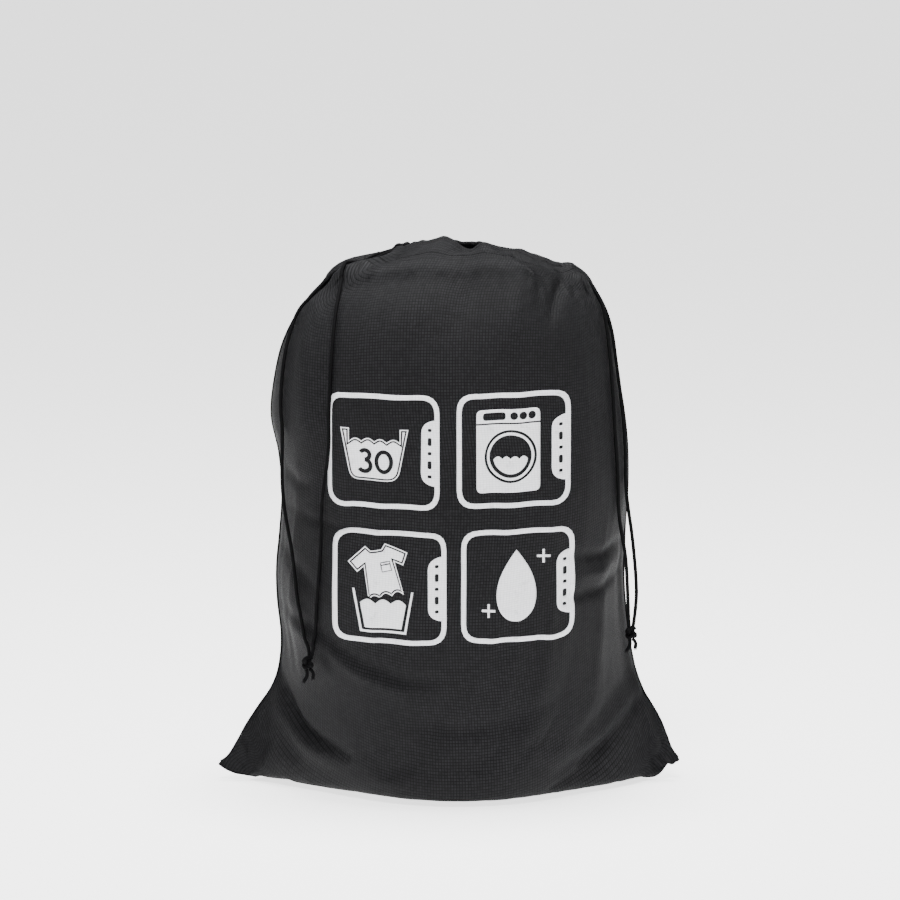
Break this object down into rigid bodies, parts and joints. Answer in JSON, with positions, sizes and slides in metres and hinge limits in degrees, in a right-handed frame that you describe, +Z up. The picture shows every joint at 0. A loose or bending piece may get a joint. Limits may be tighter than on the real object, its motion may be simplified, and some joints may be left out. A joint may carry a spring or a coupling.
{
  "type": "laundry bag",
  "caption": "Stuffed black drawstring laundry bag with pinched bottom corners, a cord-gathered mouth, knotted cords at both sides and printed washing pictograms.",
  "frame": {"origin": "on the ground under the middle of the bag, with the drawcords' hanging parts left out", "axes": "+Z up; +X to the right seen from the printed front, from corner to corner; the front faces -Y"},
  "size_m": [0.5652, 0.3368, 0.6649],
  "materials": {
    "bag_cloth": "satin",
    "thread": "matte",
    "drawcord": "matte",
    "print_ink": "matte"
  },
  "bodies": {
    "bag": {"front_panel": "bag_cloth", "back_panel": "bag_cloth", "front_hem": "bag_cloth", "back_hem": "bag_cloth", "left_side_seam": "thread", "right_side_seam": "thread", "bottom_seam": "thread", "front_hem_stitching": "thread", "back_hem_stitching": "thread", "left_exit_bartack": "thread", "right_exit_bartack": "thread", "left_tunnel_cord": "drawcord", "right_tunnel_cord": "drawcord", "left_front_upper_strand": "drawcord", "left_back_upper_strand": "drawcord", "right_front_upper_strand": "drawcord", "right_back_upper_strand": "drawcord", "tub_print_frame": "print_ink", "tub_print_symbol": "print_ink", "washer_print_frame": "print_ink", "washer_print_symbol": "print_ink", "soak_print_frame": "print_ink", "soak_print_symbol": "print_ink", "drop_print_frame": "print_ink", "drop_print_symbol": "print_ink"},
    "left_drawcord": {"left_front_lower_strand": "drawcord", "left_back_lower_strand": "drawcord"},
    "left_cord_knot": {"left_knot": "drawcord", "left_front_tail": "drawcord", "left_back_tail": "drawcord"},
    "right_drawcord": {"right_front_lower_strand": "drawcord", "right_back_lower_strand": "drawcord"},
    "right_cord_knot": {"right_knot": "drawcord", "right_front_tail": "drawcord", "right_back_tail": "drawcord"}
  },
  "joints": [
    {"name": "left_cord_swing", "type": "hinge", "parent": "bag", "child": "left_drawcord", "pos_m": [-0.16734, -0.06734, 0.545], "axis": [-0.5891, 0.8081, 0], "range_deg": [0, 80]},
    {"name": "left_cord_pull", "type": "slide", "parent": "left_drawcord", "child": "left_cord_knot", "axis": [-0.1, -0.1, -0.99], "range_m": [0, 0.12], "deforming": ["left_front_lower_strand", "left_back_lower_strand"]},
    {"name": "right_cord_swing", "type": "hinge", "parent": "bag", "child": "right_drawcord", "pos_m": [0.19579, -0.02415, 0.545], "axis": [-0.33, -0.944, 0], "range_deg": [0, 80]},
    {"name": "right_cord_pull", "type": "slide", "parent": "right_drawcord", "child": "right_cord_knot", "axis": [0.0998, -0.1197, -0.9878], "range_m": [0, 0.12], "deforming": ["right_front_lower_strand", "right_back_lower_strand"]}
  ]
}
